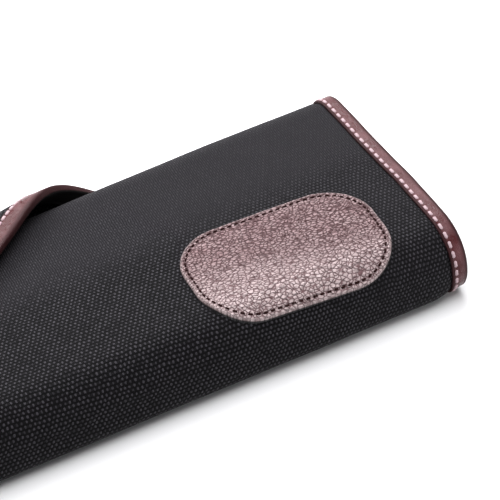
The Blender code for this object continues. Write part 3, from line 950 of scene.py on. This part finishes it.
# Closing flap
# A tapered panel of the same canvas, sewn on low at the back, that comes over the ridge to the top.
# Only its stud holds it, so its bound edges stand off the roll, most of all where it goes over.
FLAP_CANVAS = 0.0012
FLAP_PROUD = 0.0004
FLAP_SLANT = radians(50.7)
FLAP_REACH = 0.0484
FLAP_TIP_ROUND = 0.016
FLAP_BASE_BACK = ROUND_LENGTH * 138 / 180
FLAP_BINDING_WIDTH = 0.0097
STUD_BACK = -0.0194
STUD_HOLDS = 0.019
FLAP_REST = 0.0013
EDGE_REST = 0.0008
EDGE_LIFT = 0.0032
EDGE_HUMP = 0.0023
EDGE_HUMP_AT = 0.01
EDGE_HUMP_REACH = 0.011
FLAP_SLUMP = 0.55
FLAP_SLUMP_FULL = 0.05
FLAP_EDGE_SHARE = 0.3
FLAP_CUT_AT = 0.4
FLAP_PATH_STEPS = 240
FLAP_ROWS = 110
FLAP_COLUMNS = 90


def flap_edge_gap(back):
    """The space under the flap's bound edge: it lifts on the top and humps over the ridge."""
    rise = smooth_share(back, -0.075, -0.02) * (1 - smooth_share(back, 0.01, 0.045))
    hump = exp(-(((back - EDGE_HUMP_AT) / EDGE_HUMP_REACH) ** 2))
    return EDGE_REST + EDGE_LIFT * rise + EDGE_HUMP * hump


def flap_path():
    """(length down the flap from its sharp point, length back along the outline) in small steps."""
    path = [(0.0, -FLAP_REACH)]
    step = (FLAP_BASE_BACK + FLAP_REACH) / FLAP_PATH_STEPS
    last = outline_point(FLAP_REACH, flap_edge_gap(-FLAP_REACH) + FLAP_CANVAS / 2)
    for count in range(1, FLAP_PATH_STEPS + 1):
        back = -FLAP_REACH + count * step
        spot = outline_point(-back, flap_edge_gap(back) + FLAP_CANVAS / 2)
        path.append((path[-1][0] + hypot(spot[0] - last[0], spot[1] - last[1]), back))
        last = spot
    return path


FLAP_PATH = flap_path()
FLAP_LENGTH = FLAP_PATH[-1][0]
path_down = [down for down, back in FLAP_PATH]
path_back = [back for down, back in FLAP_PATH]


def flap_half_width(down, inward):
    """Half the flap's width at a length down from its sharp point, with its edge moved inward."""
    tip_round = FLAP_TIP_ROUND - inward
    tip_center = FLAP_TIP_ROUND / sin(FLAP_SLANT)
    tangent_at = tip_center - tip_round * sin(FLAP_SLANT)
    if down < tangent_at:
        return sqrt(max(tip_round**2 - (tip_center - down) ** 2, 0.0))
    return (down - inward / sin(FLAP_SLANT)) * tan(FLAP_SLANT)


def on_flap(x, down, outward):
    """A point of the flap, `outward` from its outer canvas face. Its middle slumps nearer the roll
    than its edges, and lies closest where the stud holds it."""
    back = float(np.interp(down, path_down, path_back))
    inward = (flap_half_width(max(down, 0.006), 0.0) - abs(x)) * cos(FLAP_SLANT)
    slump = FLAP_SLUMP * smooth_share(inward, 0.0, FLAP_SLUMP_FULL)
    gap = FLAP_REST + (flap_edge_gap(back) - FLAP_REST) * (1 - slump)
    held = exp(-((x**2 + (back - STUD_BACK) ** 2) / STUD_HOLDS**2))
    gap = gap + (FLAP_REST - gap) * held
    y, z = outline_point(-back, gap + FLAP_PROUD + FLAP_CANVAS + outward)
    follows = max(smooth_share(inward, 0.004, 0.03), held)
    return Vector((x, y, z - ridge_sag(x, y, z) * follows))


tip_center = FLAP_TIP_ROUND / sin(FLAP_SLANT)
tip_at = tip_center - FLAP_TIP_ROUND
canvas_tip = tip_at + LEATHER_THICKNESS
shares = np.linspace(0, 1, FLAP_ROWS)
flap_rows = list(canvas_tip + (FLAP_LENGTH - canvas_tip) * shares**1.35)
flap_columns = list(np.linspace(-1, 1, FLAP_COLUMNS))
flap_canvas = cloth_grid(
    "canvas_flap",
    flap_columns,
    flap_rows,
    lambda share, down: (
        on_flap(share * flap_half_width(down, LEATHER_THICKNESS), down, -FLAP_CANVAS / 2),
        (share * flap_half_width(down, LEATHER_THICKNESS), FLAP_CUT_AT - down),
    ),
)
thin = flap_canvas.vertex_groups.new(name="padding")
for corner in flap_canvas.data.vertices:
    down = flap_rows[corner.index // FLAP_COLUMNS]
    across = abs(flap_columns[corner.index % FLAP_COLUMNS]) * flap_half_width(down, LEATHER_THICKNESS)
    inward = min((flap_half_width(down, 0.0) - across) * cos(FLAP_SLANT), down - tip_at)
    past_binding = smooth_share(inward - FLAP_BINDING_WIDTH, -0.001, 0.001)
    thin.add([corner.index], FLAP_EDGE_SHARE + (1 - FLAP_EDGE_SHARE) * past_binding, "REPLACE")
thicken = flap_canvas.modifiers.new("padding", "SOLIDIFY")
thicken.thickness = FLAP_CANVAS
thicken.offset = 0.0
thicken.vertex_group = "padding"
apply_modifiers(flap_canvas)
face_out(flap_canvas, 50)
flap_canvas.data.materials.append(canvas)
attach(flap_canvas, "root")
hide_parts("closure_flap")


# Flap binding
# Thinner leather of the same red-brown, folded over the flap's two slanted edges and round its tip.
# Nothing presses it flat where the flap stands off the roll, so the fold hangs full there.
FLAP_LEATHER = 0.0008
FLAP_SEAM = 0.0083
FLAP_DYED_AND_SHADED_WIDTH = 0.0026
FOLD_HANG = 0.0020
SIDE_STATIONS = 110
TIP_STATIONS = 20

arc_angle = pi / 2 - FLAP_SLANT
arc_length = 2 * arc_angle * FLAP_TIP_ROUND
side_length = (FLAP_LENGTH - (tip_center - FLAP_TIP_ROUND * sin(FLAP_SLANT))) / cos(FLAP_SLANT)


def flap_edge(travelled, inward):
    """(x, down) at a length travelled along the flap's edge from its middle, moved inward."""
    side = 1 if travelled >= 0 else -1
    travelled = abs(travelled)
    radius = FLAP_TIP_ROUND - inward
    if travelled < arc_length / 2:
        turn = travelled / FLAP_TIP_ROUND
        return side * radius * sin(turn), tip_center - radius * cos(turn)
    past = travelled - arc_length / 2
    x = radius * cos(FLAP_SLANT) + past * sin(FLAP_SLANT)
    return side * x, tip_center - radius * sin(FLAP_SLANT) + past * cos(FLAP_SLANT)


def beside_flap_edge(travelled, inward, outward):
    """A point by the flap's edge. The fold hangs full where the edge stands off the roll."""
    x, down = flap_edge(travelled, inward)
    down = min(down, FLAP_LENGTH)
    room = flap_edge_gap(float(np.interp(down, path_down, path_back))) - EDGE_REST
    below = smooth_share(-outward, 0.0, FLAP_CANVAS)
    return on_flap(x, down, outward - min(FOLD_HANG, room) * below)


reach = arc_length / 2 + side_length
flap_stations = list(np.linspace(-reach, -arc_length / 2, SIDE_STATIONS))[:-1]
flap_stations += list(np.linspace(-arc_length / 2, arc_length / 2, TIP_STATIONS))
flap_stations += list(np.linspace(arc_length / 2, reach, SIDE_STATIONS))[1:]
flap_fold = fold_path(FLAP_BINDING_WIDTH, FLAP_CANVAS, FLAP_SEAM, FLAP_LEATHER, FLAP_PROUD)
flap_strip = folded_strip(
    "leather_flap_edge",
    flap_stations,
    beside_flap_edge,
    flap_fold,
    FLAP_LEATHER,
    FLAP_DYED_AND_SHADED_WIDTH,
)
flap_strip.data.materials.append(binding_leather)
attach(flap_strip, "root")
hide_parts("flap_binding")


# Flap stitches
# The same pale waxed thread as on the end bindings, a little closer. It runs along both slanted
# edges and round the tip, and its stitches are spaced along the seam itself.
FLAP_STITCH_PITCH = 0.0041
seam_round = FLAP_TIP_ROUND - FLAP_SEAM
seam_arc = arc_angle * seam_round
stitches_a_side = floor((seam_arc + side_length - SEAM_STOPS_SHORT) / FLAP_STITCH_PITCH)
surface = FLAP_PROUD - GROOVE_DEPTH + STITCH_RISE
seats = []
for count in range(-stitches_a_side, stitches_a_side + 1):
    from_tip = abs(count) * FLAP_STITCH_PITCH
    at = min(from_tip, seam_arc) * FLAP_TIP_ROUND / seam_round + max(from_tip - seam_arc, 0.0)
    at = at if count >= 0 else -at
    seat = beside_flap_edge(at, FLAP_SEAM, surface)
    ahead = beside_flap_edge(at + SMALL_STEP, FLAP_SEAM, surface)
    seats.append((seat, ahead, beside_flap_edge(at, FLAP_SEAM, surface + SMALL_STEP)))
sew("stitches_flap", pale_stitch, seats, pale_thread)
bpy.data.objects.remove(pale_stitch, do_unlink=True)


# Stud
# One plain turned brass stud that goes through the flap's tip and holds it shut: a flange on the
# panel's canvas, a post through the flap and a low domed cap on top of it.
STUD_SIDES = 48
STUD_FLANGE_RADIUS = 0.005
STUD_FLANGE = 0.0006
STUD_POST_RADIUS = 0.0022
STUD_CAP_RADIUS = 0.006
STUD_DOME_RADIUS = 0.0050
STUD_DOME_FOOT = 0.0009
STUD_DOME_HEIGHT = 0.0016
STUD_DOME_STEPS = 8
BRASS_BRIGHT = (0.5, 0.34, 0.15, 1)
BRASS_TARNISHED = (0.3, 0.19, 0.08, 1)
stud_y = CENTER_Y + FLAT_WIDTH / 2 + STUD_BACK
stud_z = CENTER_Z + RADIUS + FIT_GAP
stud_z -= ridge_sag(0.0, stud_y, stud_z)
cap_z = FLAP_REST + FLAP_PROUD + FLAP_CANVAS - FIT_GAP
bpy.ops.mesh.primitive_circle_add(vertices=STUD_SIDES, radius=STUD_FLANGE_RADIUS, location=(0, 0, 0))
stud = bpy.context.object
stud.name = "brass_stud"
stud.data.name = "brass_stud"
bpy.ops.object.mode_set(mode="EDIT")
bpy.ops.mesh.select_all(action="SELECT")
bpy.ops.mesh.edge_face_add()
dome_z = cap_z + STUD_DOME_FOOT
stud_profile = [
    (STUD_FLANGE_RADIUS, STUD_FLANGE),
    (STUD_POST_RADIUS, STUD_FLANGE),
    (STUD_POST_RADIUS, cap_z),
    (STUD_CAP_RADIUS - 0.0003, cap_z),
    (STUD_CAP_RADIUS, cap_z + 0.0003),
    (STUD_CAP_RADIUS - 0.0001, cap_z + 0.0007),
    (STUD_CAP_RADIUS - 0.0007, cap_z + 0.001),
    (STUD_DOME_RADIUS, dome_z),
]
for turn in np.linspace(0.1, 1.35, STUD_DOME_STEPS):
    stud_profile.append((STUD_DOME_RADIUS * cos(turn), dome_z + STUD_DOME_HEIGHT * sin(turn)))
last_radius, last_height = STUD_FLANGE_RADIUS, 0.0
for radius, height in stud_profile:
    bpy.ops.mesh.extrude_region_move(TRANSFORM_OT_translate={"value": (0, 0, height - last_height)})
    share = radius / last_radius
    bpy.ops.transform.resize(value=(share, share, 1), center_override=(0, 0, 0))
    last_radius, last_height = radius, height
bpy.ops.mesh.select_all(action="SELECT")
bpy.ops.mesh.normals_make_consistent(inside=False)
bpy.ops.transform.translate(value=(0, stud_y, stud_z))
bpy.ops.object.mode_set(mode="OBJECT")
bpy.ops.object.shade_smooth_by_angle(angle=radians(35))
brass, tree, shader = new_material("aged_brass", 0.3)
place = add_node(tree, "ShaderNodeTexCoord").outputs["Object"]
tarnish = speckle(tree, place, 600.0).outputs["Fac"]
tone = ranged(tree, tarnish, 0.35, 0.7, 0.0, 1.0)
feed(tree, shader.inputs["Base Color"], blend(tree, tone, BRASS_BRIGHT, BRASS_TARNISHED))
feed(tree, shader.inputs["Roughness"], ranged(tree, tarnish, 0.3, 0.7, 0.25, 0.45))
shader.inputs["Metallic"].default_value = 1.0
stud.data.materials.append(brass)
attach(stud, "root")
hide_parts("closure_stud")


# Floor, light and camera
# A plain white sheet, lit by one wide soft light overhead, a low strip behind the roll that lights
# its back ridge and bindings, and a weak low one off its right end.
FLOOR_SIZE = 8
FLOOR_COLOUR = (0.78, 0.78, 0.78, 1)
TARGET = Vector((0.1370, -0.0287, 0.0400))
CAMERA_AZIMUTH = -22.116
CAMERA_ELEVATION = 39.545
CAMERA_TILT = 7.37
CAMERA_DISTANCE = 1.3728
CAMERA_LENS = 216.0
SKY_HORIZON = (0.03, 0.03, 0.032, 1)
SKY_TOP = (0.34, 0.34, 0.35, 1)
LIGHT_COLOUR = (0.985, 0.985, 1.0)

bpy.ops.mesh.primitive_plane_add(size=FLOOR_SIZE, location=(0, 0, 0))
floor_sheet = bpy.context.object
floor_sheet.name = "floor"
floor_white, tree, shader = new_material("floor_white", 0.9)
shader.inputs["Base Color"].default_value = FLOOR_COLOUR
floor_sheet.data.materials.append(floor_white)

world = bpy.context.scene.world or bpy.data.worlds.new("studio")
bpy.context.scene.world = world
world.use_nodes = True
sky = world.node_tree
toward = add_node(sky, "ShaderNodeTexCoord").outputs["Generated"]
overhead = ranged(sky, split(sky, toward)["Z"], 0.4, 1.0, 0.0, 1.0)
background = sky.nodes["Background"]
feed(sky, background.inputs["Color"], blend(sky, overhead, SKY_HORIZON, SKY_TOP))
background.inputs["Strength"].default_value = 1.0


def soft_light(name, place, size, power, aim):
    """A rectangular soft light, (width, height) in metres and power in watts, turned to its aim."""
    bpy.ops.object.light_add(type="AREA", location=place)
    light = bpy.context.object
    light.name = name
    light.data.shape = "RECTANGLE"
    light.data.size = size[0]
    light.data.size_y = size[1]
    light.data.energy = power
    light.data.color = LIGHT_COLOUR
    light.visible_camera = False
    light.rotation_mode = "QUATERNION"
    light.rotation_quaternion = (Vector(aim) - Vector(place)).to_track_quat("-Z", "Y")


soft_light("overhead_softbox", (0.15, -0.1, 1.3), (1.5, 1.4), 30.0, (0.12, 0.0, 0.0))
soft_light("back_softbox", (0.08, 0.34, 0.30), (0.9, 0.22), 5.2, (0.10, 0.0, 0.0))
soft_light("end_softbox", (0.65, -0.45, 0.15), (0.4, 0.2), 1.6, (0.2, -0.05, 0.02))

azimuth = radians(CAMERA_AZIMUTH)
elevation = radians(CAMERA_ELEVATION)
tilt = radians(CAMERA_TILT)
back = Vector((sin(azimuth) * cos(elevation), -cos(azimuth) * cos(elevation), sin(elevation)))
level_right = Vector((cos(azimuth), sin(azimuth), 0.0))
level_up = back.cross(level_right)
right = level_right * cos(tilt) - level_up * sin(tilt)
up = level_right * sin(tilt) + level_up * cos(tilt)
bpy.ops.object.camera_add()
camera = bpy.context.object
camera.data.lens = CAMERA_LENS
camera.data.sensor_width = 36.0
camera.data.clip_end = 20.0
turned = Matrix((right, up, back)).transposed().to_4x4()
camera.matrix_world = Matrix.Translation(TARGET + back * CAMERA_DISTANCE) @ turned
bpy.context.scene.camera = camera
bpy.context.scene.view_settings.view_transform = "Standard"

bpy.context.view_layer.update()
